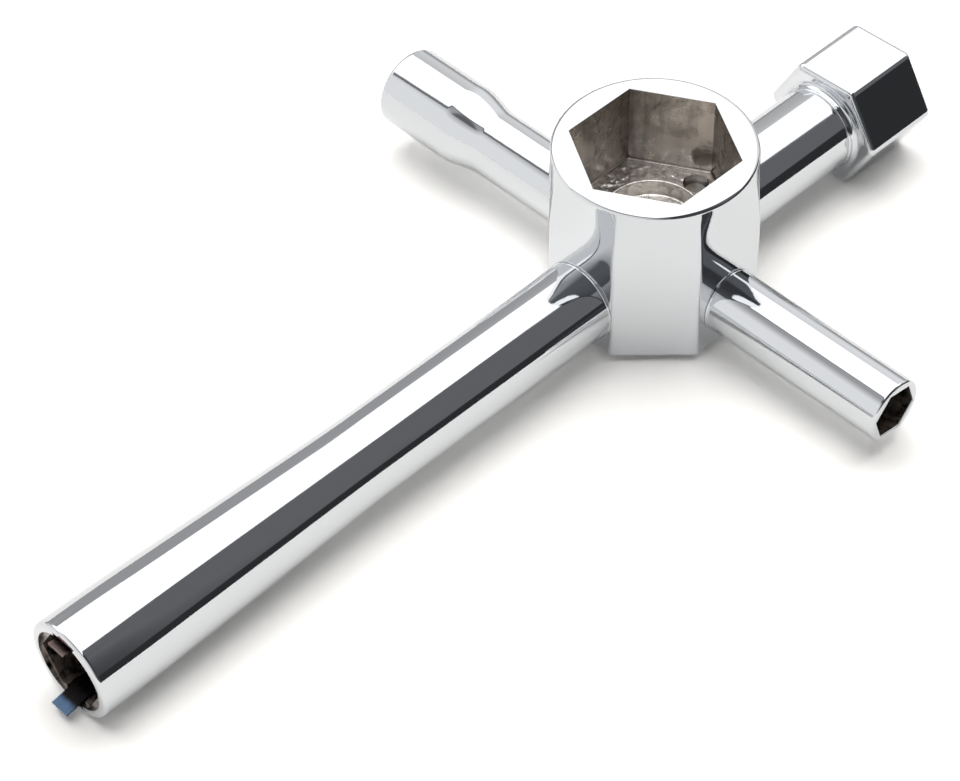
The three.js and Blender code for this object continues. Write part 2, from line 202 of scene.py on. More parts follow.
class SwagedArmSizes(bpy.types.PropertyGroup):
    """Sizes of the arm with the swelled end."""

    reach: length("Reach", "Distance of the mouth from the hub's axis", -SWAGED_LOW.x)
    radius: length("Radius", "Radius of the thin part", 4.12 * MM)
    end_radius: length("End Radius", "Radius of the swelled end", SWAGED_HIGH.y)
    end_length: length("End Length", "Length of the swelled end", 9.8 * MM)
    curve_length: length("Curve Length", "Length of the swell", 5.5 * MM)
    rim_round: length("Rim Round", "Radius of the mouth's outer edge", 0.6 * MM)
    flats: length("Socket Across Flats", "Width of the hexagon socket", 7 * MM)
    depth: length("Socket Depth", "Depth of the hexagon socket", 8 * MM)
    bore_radius: length("Bore Radius", "Radius of the bore behind the socket", 3.2 * MM)
    bore_depth: length("Bore Depth", "Depth of that bore from the mouth", 14 * MM)


class HeadSizes(bpy.types.PropertyGroup):
    """Sizes of the shank with the hex head, and of the head."""

    shank_end: length("Shank End", "Distance of the shank's shoulder from the hub's axis", 28.4 * MM)
    shank_radius: length("Shank Radius", "Radius of the shank", SHANK_HIGH.x)
    spigot_end: length("Spigot End", "Distance of the head spigot's end from the hub's axis", SHANK_HIGH.y)
    spigot_radius: length("Spigot Radius", "Radius of the head's spigot", 4 * MM)
    bore_radius: length("Bore Radius", "Radius of the head's bore", 4.3 * MM)
    front: length("Front", "Distance of the head's front from the hub's axis", HEAD_HIGH.y)
    hex_length: length("Hexagon Length", "Length of the hexagon", 10.8 * MM)
    collar: length("Collar", "Radius of the hollow curve behind the hexagon", 0.7 * MM)
    flats: length("Across Flats", "Width of the hexagon", 14 * MM)
    head_turn: turn("Turn", "Turn of the hexagon about the shank", -1.5)
    corner_round: length("Corner Round", "Radius of the hexagon's six long edges", 1.1 * MM)
    edge_round: length("Edge Round", "Radius of the edges at both ends", 0.7 * MM)
    socket_flats: length("Socket Across Flats", "Width of the socket in the head", 10 * MM)
    socket_depth: length("Socket Depth", "Depth of the socket in the head", 6.8 * MM)


class ClipSizes(bpy.types.PropertyGroup):
    """Sizes of the spring clip in the long arm."""

    width: length("Width", "Width of the leaf", BEND_HIGH.x - BEND_LOW.x)
    thickness: length("Thickness", "Thickness of the leaf", 0.3 * MM)
    edge_round: length("Edge Round", "Radius of the leaf's edges", 0.05 * MM)
    bend_radius: length("Bend Radius", "Radius of the bend's middle", 3.7705 * MM)
    leg_start: length("Leg Start", "Distance of the legs' roots from the hub's axis", -UPPER_HIGH.y)
    crest: length("Crest", "Distance of the crests from the hub's axis", 83.85 * MM)
    crest_height: length("Crest Height", "Height of the crests' middle above the arm's axis", 3.9 * MM)
    crest_blend: length("Crest Blend", "Half length of the crests' curve", 0.5 * MM)
    flare: turn("Flare", "Slope of the tabs beyond the crests", 11)
    upper_end: length("Upper End", "Distance of the upper tab's end from the hub's axis", -UPPER_LOW.y)
    lower_end: length("Lower End", "Distance of the lower tab's end from the hub's axis", 87.27 * MM)


class PinSizes(bpy.types.PropertyGroup):
    """Sizes of the lock pin."""

    radius: length("Radius", "Radius of the pin", 1.46 * MM)
    chamfer: length("Chamfer", "Chamfer of both ends", 0.2 * MM)


class FinishColours(bpy.types.PropertyGroup):
    """Colours and smoothness of the metals."""

    chrome: colour("Chrome", "Bright chrome plating", (0.685, 0.70, 0.72))
    chrome_rough: factor("Chrome Roughness", "Roughness of the plating", 0.03)
    nickel: colour("Nickel", "Thin plating on the socket walls", (0.55, 0.507, 0.468))
    nickel_stain: colour("Nickel Stain", "Darker stains on the socket walls", (0.27, 0.245, 0.226))
    nickel_rough: factor("Nickel Roughness", "Roughness of the socket walls", 0.2)
    cast: colour("Cast", "Bright grains of the rough socket floor", (1.0, 0.98, 0.945))
    cast_shade: colour("Cast Shade", "Darker grains of the rough socket floor", (0.72, 0.68, 0.64))
    cast_rough: factor("Cast Roughness", "Roughness of the rough floor's grains", 0.2)
    spring_blue: colour("Spring Blue", "Temper colour of the lower leg", (0.07, 0.118, 0.195))
    spring_brown: colour("Spring Brown", "Temper colour of the upper leg", (0.17, 0.122, 0.116))
    # Painted shade on the clip deep in the socket, where it lies in shadow; also the dark of the random stains in the
    # small sockets
    painted_shade_and_stain: colour("Spring Dark", "Colour of the clip deep in the socket", (0.012, 0.011, 0.011))
    socket: colour("Socket", "Stained walls of the small sockets", (0.55, 0.485, 0.44))
    socket_rough: factor("Socket Roughness", "Roughness of the small sockets", 0.36)
    pin: colour("Pin", "Plain steel of the lock pin", (0.60, 0.55, 0.50))
    pin_rough: factor("Pin Roughness", "Roughness of the lock pin", 0.38)


class StageSizes(bpy.types.PropertyGroup):
    """Camera, floor and light of the studio."""

    azimuth: turn("Azimuth", "Turn of the camera about the hub", 46.6436)
    elevation: turn("Elevation", "Height of the camera as an angle", 47.0691)
    roll: turn("Roll", "Roll of the camera", -1.4826)
    distance: length("Distance", "Distance of the camera from the hub", 327.554 * MM)
    aim_height: length("Aim Height", "Height of the point on the hub's axis that is placed in the picture", 10 * MM)
    aim_right: factor("Aim Right", "That point's place right of the middle, in widths of the picture", 0.179648)
    aim_up: factor("Aim Up", "That point's place above the middle, in widths of the picture", 0.177462)
    lens: factor("Lens", "Focal length in widths of the picture", 3.014909)
    floor_left: length("Floor Left", "Reach of the floor to the left", 0.9)
    floor_right: length("Floor Right", "Reach of the floor to the right", 0.068)
    floor_near: length("Floor Near", "Reach of the floor toward the camera", 0.9)
    floor_far: length("Floor Far", "Reach of the floor away from the camera", 0.30)
    floor_grey: factor("Floor Grey", "Brightness of the floor as a reflector of light", 0.8)
    floor_seen: factor("Floor Seen", "Brightness of the floor in the picture", 1.55)
    floor_mirrored: factor("Floor Mirrored", "Brightness of the floor in the metal", 1.3)
    floor_tint: colour("Floor Tint", "Warm white of the floor", (1.0, 0.985, 0.958))
    lamp: factor("Lamp", "Brightness of the overhead soft box", 1.7)
    wall_light: factor("Wall Light", "Share of the studio's brightness that lights the floor", 0.1)
    top_light: factor("Top Light", "Brightness of the lamp high above the floor", 3.25)


# Cross-sections: the radius at an angle, with the outline moved out by grow


def circle(radius):
    """A round section."""
    return lambda angle, grow=0.0: radius + grow


def polygon(sides, flats, start=0.0):
    """A sharp regular section, with one corner at the start angle."""
    step = 2 * math.pi / sides
    return lambda angle, grow=0.0: (flats / 2 + grow) / math.cos((angle - start) % step - step / 2)


def rounded_polygon(sides, flats, corner_round, start=0.0):
    """A regular section with rounded corners, one of them at the start angle."""
    step = 2 * math.pi / sides

    def radius(angle, grow=0.0):
        apothem, bend = flats / 2 + grow, corner_round + grow
        off = abs((angle - start) % step - step / 2)
        if math.tan(off) * apothem <= (apothem - bend) * math.tan(step / 2):
            return apothem / math.cos(off)
        centre = (apothem - bend) / math.cos(step / 2)
        side = step / 2 - off
        return centre * math.cos(side) + math.sqrt(bend**2 - (centre * math.sin(side)) ** 2)

    return radius


def slotted(section, width, reach):
    """A section joined with an upright slot."""

    def radius(angle, grow=0.0):
        across = (width / 2 + grow) / max(abs(math.cos(angle)), 1e-9)
        upright = (reach + grow) / max(abs(math.sin(angle)), 1e-9)
        return max(section(angle, grow), min(across, upright))

    return radius


def mixed(first, second, share):
    """A section between two others."""
    return lambda angle, grow=0.0: first(angle, grow) * (1 - share) + second(angle, grow) * share


def corner_angles(sides, start=0.0, spread=0.0):
    """The angles at and beside a regular section's corners."""
    step = 2 * math.pi / sides
    offsets = [spread * i / CORNER_POINTS for i in range(-CORNER_POINTS, CORNER_POINTS + 1)] if spread else [0.0]
    return [start + step * i + offset for i in range(sides) for offset in offsets]


def corner_spread(sides, flats, corner_round):
    """Half the angle that a rounded corner takes up."""
    half = math.pi / sides
    return half - math.atan((flats / 2 - corner_round) * math.tan(half) / (flats / 2))


def slot_angles(width, reach, foot):
    """The angles of an upright slot's corners and of its feet on the section."""
    base = [math.atan2(reach, width / 2), math.atan2(foot, width / 2)]
    return [angle for b in base for angle in (b, math.pi - b, math.pi + b, -b)]


def shared_angles(special):
    """Even angles round the axis, together with the special ones."""
    whole = 2 * math.pi
    kept = sorted({round(angle % whole, 7) for angle in special})
    gap = whole / ROUND_POINTS
    for i in range(ROUND_POINTS):
        even = i * gap
        if all(abs((even - k + math.pi) % whole - math.pi) > gap / 4 for k in kept):
            kept.append(even)
    return sorted(kept)


def ramp(value, blend):
    """Zero below zero and the value above it, with a curve of the blend's half length between."""
    if abs(value) >= blend:
        return max(value, 0.0)
    return (value + blend) ** 2 / (4 * blend)


def add_piece(name, work, materials):
    """Turns a finished bmesh into a mesh object with its materials."""
    bmesh.ops.recalc_face_normals(work, faces=work.faces)
    mesh = bpy.data.meshes.new(name)
    for material in materials:
        mesh.materials.append(material)
    work.to_mesh(mesh)
    work.free()
    piece = bpy.data.objects.new(name, mesh)
    bpy.context.scene.collection.objects.link(piece)
    return piece


class Skin:
    """A closed surface over a stack of rings that share their angles about one axis."""

    def __init__(self, special=()):
        self.angles = shared_angles(special)
        self.points = []
        self.rings = []

    def ring(self, section, height, grow=0.0, finish=OUTSIDE, grain=0.0):
        """Adds a ring; its finish is that of the band up to it."""
        self.rings.append((len(self.points), len(self.angles), finish))
        for angle in self.angles:
            radius = section(angle, grow)
            point = Vector((radius * math.cos(angle), radius * math.sin(angle), height))
            if grain:
                point.z += grain * cast_grain(point)
            self.points.append(point)

    def tip(self, height, finish=OUTSIDE):
        """Closes the surface on its axis."""
        self.rings.append((len(self.points), 1, finish))
        self.points.append(Vector((0, 0, height)))

    def arc(self, section, grow, height, size, start, end, finish=OUTSIDE):
        """Adds the rings of a rounded edge whose centre lies at the given offset and height."""
        for i in range(ARC_STEPS + 1):
            angle = start + (end - start) * i / ARC_STEPS
            self.ring(section, height + size * math.sin(angle), grow + size * math.cos(angle), finish)

    def outer_edge(self, section, height, size):
        """Rounds from a wall on to an end face."""
        self.arc(section, -size, height - size, size, 0.0, QUARTER)

    def mouth_edge(self, section, height, size, finish=OUTSIDE):
        """Rounds from an end face into a hole."""
        self.arc(section, size, height - size, size, QUARTER, math.pi, finish)

    def base_edge(self, section, height, size):
        """Rounds from a lower face on to a wall."""
        self.arc(section, -size, height + size, size, -QUARTER, 0.0)

    def build(self, name, place, materials=(), closed=False):
        """Makes the mesh object, with the axis turned to its place and a material for each finish."""
        work = bmesh.new()
        verts = [work.verts.new(place @ point) for point in self.points]
        pairs = list(zip(self.rings, self.rings[1:]))
        if closed:
            pairs.append((self.rings[-1], self.rings[0]))
        for (low, low_count, _), (high, high_count, finish) in pairs:
            count = max(low_count, high_count)
            for i in range(count):
                j = (i + 1) % count
                corners = [low + i, low + j] if low_count > 1 else [low]
                corners += [high + j, high + i] if high_count > 1 else [high]
                work.faces.new([verts[c] for c in corners]).material_index = finish
        return add_piece(name, work, materials)


def cast_grain(point):
    """Height of the cast floor's grain at a point, about -1 to 1."""
    broad = noise.fractal(point * BROAD_GRAIN, 1.0, 2.0, 3)
    fine = noise.fractal(point * FINE_GRAIN + FINE_SHIFT, 0.9, 2.0, 3)
    return broad + FINE_SHARE * fine


def along(direction, height):
    """The placing matrix of an arm: its axis along the direction, its section's Y axis up."""
    up = Vector((0, 0, 1))
    axis = Vector(direction)
    side = up.cross(axis)
    place = Matrix((side, up, axis)).transposed().to_4x4()
    place.translation = (0, 0, height)
    return place


def shade(piece):
    """Smooths the surface between its sharp edges."""
    work = bmesh.new()
    work.from_mesh(piece.data)
    for face in work.faces:
        face.smooth = True
    for edge in work.edges:
        edge.smooth = not edge.is_manifold or edge.calc_face_angle() < SHARP_ANGLE
    work.to_mesh(piece.data)
    work.free()
    weighted = piece.modifiers.new("Weighted Normals", "WEIGHTED_NORMAL")
    weighted.keep_sharp = True


def cut(piece, cutters):
    """Cuts the cutters out of the piece and removes them."""
    for cutter in cutters:
        boolean = piece.modifiers.new(cutter.name, "BOOLEAN")
        boolean.operation = "DIFFERENCE"
        boolean.solver = "EXACT"
        boolean.object = cutter
    result = bpy.data.meshes.new_from_object(piece.evaluated_get(bpy.context.evaluated_depsgraph_get()))
    piece.modifiers.clear()
    piece.data = result
    for cutter in cutters:
        bpy.data.objects.remove(cutter)


def finish_piece(piece, node, body):
    """Smooths a piece and gives it its place in the frame."""
    shade(piece)
    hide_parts(node)
    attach(piece, body)


def plain_cylinder(name, radius, low, high, place):
    """A cutter for a round bore."""
    skin = Skin()
    skin.tip(low)
    skin.ring(circle(radius), low)
    skin.ring(circle(radius), high)
    skin.tip(high)
    return skin.build(name, place)


def begin_arm(skin, arms, hub, radius):
    """Adds an arm's spigot and the shoulder that seats on its facet."""
    spigot = circle(arms.spigot_radius)
    shoulder = hub.flats / 2 + arms.seat
    skin.tip(arms.spigot_end)
    skin.ring(spigot, arms.spigot_end, -arms.spigot_lead)
    skin.ring(spigot, arms.spigot_end + arms.spigot_lead)
    skin.ring(spigot, shoulder)
    last = math.acos(arms.bead_sunk)
    skin.arc(circle(radius), -arms.bead * arms.bead_sunk, shoulder + arms.bead, arms.bead, -QUARTER, last)
    # A ring close by keeps the bead's shading off the long wall
    skin.ring(circle(radius), shoulder + 3 * arms.bead)


def end_blind(skin, socket, floor, bore_radius, bore_end):
    """Adds a socket's walls, its step to the round bore and the bore's end."""
    skin.ring(socket, floor, finish=INSIDE)
    skin.ring(circle(bore_radius), floor, finish=INSIDE)
    skin.ring(circle(bore_radius), bore_end, finish=INSIDE)
    skin.tip(bore_end, finish=INSIDE)


def finish_arm(scene, skin, node, direction):
    """Makes an arm of its skin, plated outside and stained in its socket."""
    colours = scene.wrench_finish
    place = along(direction, scene.wrench_arms.axis_height)
    piece = skin.build(f"{node}_body", place, (chrome_finish(colours), socket_finish(colours)))
    finish_piece(piece, node, "wrench")


def leaf_strip(name, path, sizes, place, material):
    """A leaf of spring steel that follows a path of points and normals."""
    half_wide, half_thick, edge = sizes.width / 2, sizes.thickness / 2, sizes.edge_round
    outline = []
    for i, (x, y) in enumerate(((1, 1), (-1, 1), (-1, -1), (1, -1))):
        for step in range(3):
            angle = QUARTER * (i + step / 2)
            outline.append((
                x * (half_wide - edge) + edge * math.cos(angle),
                y * (half_thick - edge) + edge * math.sin(angle),
            ))
    work = bmesh.new()
    rings = [
        [work.verts.new(place @ (centre + normal * y + Vector((x, 0, 0)))) for x, y in outline]
        for centre, normal in path
    ]
    count = len(outline)
    for low, high in zip(rings, rings[1:]):
        for i in range(count):
            work.faces.new((low[i], low[(i + 1) % count], high[(i + 1) % count], high[i]))
    work.faces.new(rings[0])
    work.faces.new(rings[-1])
    return add_piece(name, work, (material,))


def path_with_normals(points):
    """Points of an upright path, each with its normal in the path's plane."""
    path = []
    for i, point in enumerate(points):
        along_path = points[min(i + 1, len(points) - 1)] - points[max(i - 1, 0)]
        path.append((point, Vector((0, along_path.z, -along_path.y)).normalized()))
    return path


# Materials


class Nodes:
    """Adds nodes to a tree and links them."""

    def __init__(self, tree):
        self.tree = tree
        tree.nodes.clear()

    def add(self, kind, inputs=(), **settings):
        """Adds a node; its inputs are numbers, colours or other nodes' sockets."""
        node = self.tree.nodes.new(kind)
        for key, value in settings.items():
            setattr(node, key, value)
        for key, value in dict(inputs).items():
            if isinstance(value, bpy.types.NodeSocket):
                self.tree.links.new(value, node.inputs[key])
            else:
                node.inputs[key].default_value = value
        return node

    def maths(self, operation, *values):
        """The result of a Math node."""
        return self.add("ShaderNodeMath", enumerate(values), operation=operation).outputs[0]

    def product(self, first, *others):
        """Several values multiplied together."""
        for other in others:
            first = self.maths("MULTIPLY", first, other)
        return first

    def remap(self, value, low, high, to_low=0.0, to_high=1.0, kind="SMOOTHSTEP"):
        """A value carried from one range to another."""
        inputs = {"Value": value, "From Min": low, "From Max": high, "To Min": to_low, "To Max": to_high}
        return self.add("ShaderNodeMapRange", inputs, interpolation_type=kind).outputs[0]

    def blend(self, share, first, second):
        """A number between two others."""
        inputs = {0: share, 2: first, 3: second}
        return self.add("ShaderNodeMix", inputs, data_type="FLOAT").outputs[0]

    def tint(self, share, first, second):
        """A colour between two others."""
        inputs = {0: share, 6: first, 7: second}
        return self.add("ShaderNodeMix", inputs, data_type="RGBA").outputs[2]

    def noise(self, vector, scale, detail=2.0, roughness=0.5):
        """The height of a noise texture."""
        inputs = {"Vector": vector, "Scale": scale, "Detail": detail, "Roughness": roughness}
        return self.add("ShaderNodeTexNoise", inputs).outputs[0]

    def stretched(self, vector, scale):
        """A vector scaled on each axis."""
        return self.add("ShaderNodeMapping", {"Vector": vector, "Scale": scale}).outputs[0]

    def bump(self, height, distance, normal=None):
        """A normal tilted by a height."""
        inputs = {"Height": height, "Distance": distance, "Strength": 1.0}
        if normal:
            inputs["Normal"] = normal
        return self.add("ShaderNodeBump", inputs).outputs[0]

    def position(self):
        """The place on the object."""
        return self.add("ShaderNodeTexCoord").outputs["Object"]

    def metal(self, base, roughness, normal):
        """Ends the tree with a metal surface."""
        inputs = {"Base Color": base, "Metallic": 1.0, "Roughness": roughness, "Normal": normal}
        shader = self.add("ShaderNodeBsdfPrincipled", inputs)
        self.add("ShaderNodeOutputMaterial", {"Surface": shader.outputs[0]})


def rgba(values):
    """A colour with full cover."""
    return (*values, 1.0)


def new_material(name):
    """A named material and its empty node tree, or none where it is already made."""
    material = bpy.data.materials.get(name)
    if material:
        return material, None
    material = bpy.data.materials.new(name)
    material.use_nodes = True
    return material, Nodes(material.node_tree)


def chrome_finish(colours):
    """Bright plating over a slightly uneven casting."""
    material, nodes = new_material("plated_chrome")
    if nodes:
        place = nodes.position()
        waves = nodes.bump(nodes.noise(place, 110, 1.0), 0.012 * MM)
        pits = nodes.bump(nodes.noise(place, 1300, 3.0, 0.6), 0.0018 * MM, waves)
        rough = nodes.remap(nodes.noise(place, 60, 3.0), 0.4, 0.7, colours.chrome_rough, colours.chrome_rough * 1.8)
        nodes.metal(rgba(colours.chrome), rough, pits)
    return material


def nickel_finish(colours):
    """Thin brownish plating on broached walls, with stains, scratches and runs."""
    material, nodes = new_material("socket_nickel")
    if nodes:
        place = nodes.position()
        runs = nodes.noise(nodes.stretched(place, (1, 1, 0.09)), 1500, 4.0, 0.65)
        blotch = nodes.noise(place, 260, 4.0, 0.6)
        stain = nodes.remap(nodes.maths("ADD", nodes.maths("MULTIPLY", runs, 0.45), blotch), 0.55, 0.95)
        base = nodes.tint(stain, rgba(colours.nickel), rgba(colours.nickel_stain))
        rough = nodes.remap(blotch, 0.3, 0.7, colours.nickel_rough, colours.nickel_rough * 1.7)
        scored = nodes.bump(runs, 0.006 * MM)
        patch = nodes.remap(nodes.noise(place, 190, 2.0), 0.5, 0.62)
        grains = nodes.maths("MULTIPLY", patch, nodes.noise(place, 1500, 3.0, 0.6))
        nodes.metal(base, rough, nodes.bump(grains, 0.075 * MM, scored))
    return material


def socket_finish(colours):
    """Stained steel in the small sockets, which the plating hardly reaches."""
    material, nodes = new_material("stained_socket")
    if nodes:
        place = nodes.position()
        blotch = nodes.noise(place, 700, 4.0, 0.6)
        base = nodes.tint(nodes.remap(blotch, 0.35, 0.7), rgba(colours.socket), rgba(colours.painted_shade_and_stain))
        nodes.metal(base, colours.socket_rough, nodes.bump(nodes.noise(place, 1900, 2.0), 0.01 * MM))
    return material


def cast_finish(colours):
    """The rough, bright floor of the hub's socket."""
    material, nodes = new_material("cast_floor")
    if nodes:
        place = nodes.position()
        grains = nodes.noise(place, 1500, 5.0, 0.65)
        shade_share = nodes.remap(nodes.noise(place, 1100, 3.0, 0.6), 0.34, 0.52)
        base = nodes.tint(shade_share, rgba(colours.cast_shade), rgba(colours.cast))
        nodes.metal(base, colours.cast_rough, nodes.bump(grains, 0.09 * MM))
    return material


def spring_finish(colours, sizes, axis_height):
    """Blued spring steel: brown in the upper leg, blue in the lower one, with painted shade that turns both legs near
    black deeper in the socket.
    """
    material, nodes = new_material("tempered_spring")
    if nodes:
        place = nodes.position()
        _, station, height = nodes.add("ShaderNodeSeparateXYZ", {0: place}).outputs
        side = nodes.remap(height, axis_height - sizes.bend_radius / 2, axis_height + sizes.bend_radius / 2)
        drift = nodes.noise(place, 900, 3.0, 0.6)
        shift = nodes.maths("MULTIPLY", nodes.maths("SUBTRACT", drift, 0.5), 0.5)
        base = nodes.tint(nodes.maths("ADD", side, shift), rgba(colours.spring_blue), rgba(colours.spring_brown))
        # Painted shade: each leg turns near black from a little beyond its crest towards the hub, standing in for the
        # shadow deep in the socket
        upper, lower = (
            nodes.remap(station, *(-sizes.crest - beyond for beyond in fade)) for fade in (UPPER_PAINTED_SHADE, LOWER_PAINTED_SHADE)
        )
        base = nodes.tint(nodes.blend(side, lower, upper), base, rgba(colours.painted_shade_and_stain))
        grain = nodes.noise(nodes.stretched(place, (1, 0.12, 1)), 2600, 2.0)
        nodes.metal(base, nodes.remap(drift, 0.3, 0.7, 0.24, 0.4), nodes.bump(grain, 0.006 * MM))
    return material


def pin_finish(colours):
    """Plain turned steel."""
    material, nodes = new_material("turned_steel")
    if nodes:
        place = nodes.position()
        drift = nodes.noise(place, 1400, 3.0)
        base = nodes.tint(nodes.remap(drift, 0.35, 0.7, 0.0, 0.4), rgba(colours.pin), rgba(colours.nickel_stain))
        nodes.metal(base, colours.pin_rough, nodes.bump(drift, 0.006 * MM))
    return material


def floor_finish(stage):
    """Warm white, paler to the camera and in the metal than as a reflector of light."""
    material, nodes = new_material("studio_floor")
    if nodes:
        rays = nodes.add("ShaderNodeLightPath").outputs
        mirrored = nodes.maths("MAXIMUM", rays["Is Glossy Ray"], rays["Is Transmission Ray"])
        level = nodes.blend(mirrored, stage.floor_grey, stage.floor_mirrored)
        level = nodes.blend(rays["Is Camera Ray"], level, stage.floor_seen)
        paint = nodes.add("ShaderNodeVectorMath", {0: tuple(stage.floor_tint), "Scale": level}, operation="SCALE")
        diffuse = nodes.add("ShaderNodeBsdfDiffuse", {"Color": paint.outputs[0]})
        nodes.add("ShaderNodeOutputMaterial", {"Surface": diffuse.outputs[0]})
    return material


# Operators: one for each piece or group of like pieces, and one for the studio


class WRENCH_OT_hub(bpy.types.Operator):
    """Build the eight-sided hub with its hexagon socket, recess and bores"""

    bl_idname = "wrench.build_hub"
    bl_label = "Build Hub"

    def execute(self, context):
        """Skins the hub, cuts its bores and gives it its finishes."""
        scene = context.scene
        hub, arms, colours = scene.wrench_hub, scene.wrench_arms, scene.wrench_finish
        eighth = math.pi / OCTAGON
        facets = rounded_polygon(OCTAGON, hub.flats, hub.corner_round, eighth)
        socket = polygon(HEXAGON, hub.socket_flats, QUARTER)
        rim = circle(hub.flats / 2 - hub.rim_inset)
        recess = circle(hub.recess_radius)
        floor = hub.height - hub.socket_depth
        recess_floor = floor - hub.recess_depth
        spread = corner_spread(OCTAGON, hub.flats, hub.corner_round)
        skin = Skin(corner_angles(OCTAGON, eighth, spread) + corner_angles(HEXAGON, QUARTER))
        # Outside, from the base up the facets to the round rim
        skin.tip(0.0)
        skin.base_edge(facets, 0.0, hub.base_round)
        for i in range(FLARE_RINGS):
            share = i / FLARE_RINGS
            level = hub.height - hub.rim_round - hub.flare_height * (1 - share)
            skin.ring(mixed(facets, rim, share**hub.flare_power), level)
        skin.outer_edge(rim, hub.height, hub.rim_round)
        # Top face and socket walls
        skin.ring(rim, hub.height, -hub.rim_round - hub.mouth_round)
        skin.ring(socket, hub.height, 2 * hub.mouth_round)
        skin.mouth_edge(socket, hub.height, hub.mouth_round)
        bead = hub.floor_bead
        skin.arc(socket, -bead, floor + bead, bead, 0.0, -QUARTER, INSIDE)
        # Rough floor, whose grain fades out beside both its edges, and the recess
        lip = hub.recess_lip
        for i in range(1, FLOOR_RINGS):
            share = i / FLOOR_RINGS
            between = mixed(lambda a, g: socket(a, g - bead), lambda a, g: recess(a, g + lip), share)
            fade = min(1.0, GRAIN_FADE * share, GRAIN_FADE - GRAIN_FADE * share)
            skin.ring(between, floor, finish=CAST, grain=hub.grain * fade)
        skin.mouth_edge(recess, floor, lip, CAST)
        skin.arc(recess, -bead, recess_floor + bead, bead, 0.0, -QUARTER, CAST)
        for i in range(1, FLOOR_RINGS):
            share = 1 - i / FLOOR_RINGS
            skin.ring(circle((hub.recess_radius - bead) * share), recess_floor, finish=CAST, grain=hub.grain)
        skin.tip(recess_floor, CAST)
        materials = chrome_finish(colours), nickel_finish(colours), cast_finish(colours)
        piece = skin.build("hub_body", Matrix.Identity(4), materials)
        cutters = [
            plain_cylinder(f"bore_{i}", hub.bore_radius, hub.bore_end, hub.flats, along(direction, arms.axis_height))
            for i, direction in enumerate((PLUG_WAY, SHORT_WAY, HEAD_WAY, SWAGED_WAY))
        ]
        hole_end = PIN_LOW.z - HUB_PIN_ROOM
        cutters.append(plain_cylinder("pin_hole", hub.pin_hole_radius, hole_end, hub.height, PIN_AXIS))
        cut(piece, cutters)
        finish_piece(piece, "hub", "wrench")
        return {"FINISHED"}


class WRENCH_OT_plug_arm(bpy.types.Operator):
    """Build the long tapered arm with the glow plug socket"""

    bl_idname = "wrench.build_plug_arm"
    bl_label = "Build Plug Arm"

    def execute(self, context):
        """Skins the arm from its spigot to the end of its bore."""
        scene = context.scene
        hub, arms, plug = scene.wrench_hub, scene.wrench_arms, scene.wrench_plug_arm
        hexagon = polygon(HEXAGON, plug.flats)
        socket = slotted(hexagon, plug.slot_width, plug.slot_reach)
        mouth = slotted(circle(plug.mouth_radius), plug.slot_width, plug.slot_reach)
        taper_end = plug.reach - plug.end_length
        taper_start = taper_end - plug.taper_length
        slope = (plug.end_radius - plug.radius) / plug.taper_length
        special = corner_angles(HEXAGON) + slot_angles(plug.slot_width, plug.slot_reach, plug.flats / 2)
        ledge = math.sqrt(plug.mouth_radius**2 - (plug.slot_width / 2) ** 2)
        skin = Skin(special + slot_angles(plug.slot_width, plug.slot_reach, ledge))
        begin_arm(skin, arms, hub, plug.radius)
        for bend in (taper_start, taper_end):
            for i in range(BLEND_STEPS + 1):
                station = bend + plug.taper_blend * (2 * i / BLEND_STEPS - 1)
                rise = ramp(station - taper_start, plug.taper_blend) - ramp(station - taper_end, plug.taper_blend)
                skin.ring(circle(plug.radius + slope * rise), station)
        skin.outer_edge(circle(plug.end_radius), plug.reach, plug.rim_round)
        skin.mouth_edge(mouth, plug.reach, arms.mouth_round)
        skin.ring(mouth, plug.reach - plug.mouth_depth, finish=INSIDE)
        skin.ring(socket, plug.reach - plug.mouth_depth, finish=INSIDE)
        end_blind(skin, socket, plug.reach - plug.depth, plug.bore_radius, plug.bore_end)
        finish_arm(scene, skin, "plug_arm", PLUG_WAY)
        return {"FINISHED"}


class WRENCH_OT_short_arm(bpy.types.Operator):
    """Build the thin arm with the small nut socket"""

    bl_idname = "wrench.build_short_arm"
    bl_label = "Build Short Arm"

    def execute(self, context):
        """Skins the arm from its spigot to the end of its bore."""
        scene = context.scene
        hub, arms, short = scene.wrench_hub, scene.wrench_arms, scene.wrench_short_arm
        socket = polygon(HEXAGON, short.flats, short.socket_turn)
        skin = Skin(corner_angles(HEXAGON, short.socket_turn))
        begin_arm(skin, arms, hub, short.radius)
        skin.outer_edge(circle(short.radius), short.reach, short.rim_round)
        skin.mouth_edge(socket, short.reach, short.lip_round)
        end_blind(skin, socket, short.reach - short.depth, short.bore_radius, short.reach - short.bore_depth)
        finish_arm(scene, skin, "short_arm", SHORT_WAY)
        return {"FINISHED"}


class WRENCH_OT_swaged_arm(bpy.types.Operator):
    """Build the arm with the swelled end"""

    bl_idname = "wrench.build_swaged_arm"
    bl_label = "Build Swaged Arm"

    def execute(self, context):
        """Skins the arm from its spigot to the end of its bore."""
        scene = context.scene
        hub, arms, swaged = scene.wrench_hub, scene.wrench_arms, scene.wrench_swaged_arm
        socket = polygon(HEXAGON, swaged.flats)
        skin = Skin(corner_angles(HEXAGON))
        begin_arm(skin, arms, hub, swaged.radius)
        swell_start = swaged.reach - swaged.end_length - swaged.curve_length
        for i in range(BLEND_STEPS + 1):
            share = i / BLEND_STEPS
            swell = (1 - math.cos(math.pi * share)) / 2
            radius = swaged.radius + (swaged.end_radius - swaged.radius) * swell
            skin.ring(circle(radius), swell_start + swaged.curve_length * share)
        skin.outer_edge(circle(swaged.end_radius), swaged.reach, swaged.rim_round)
        skin.mouth_edge(socket, swaged.reach, arms.mouth_round)
        end_blind(skin, socket, swaged.reach - swaged.depth, swaged.bore_radius, swaged.reach - swaged.bore_depth)
        finish_arm(scene, skin, "swaged_arm", SWAGED_WAY)
        return {"FINISHED"}


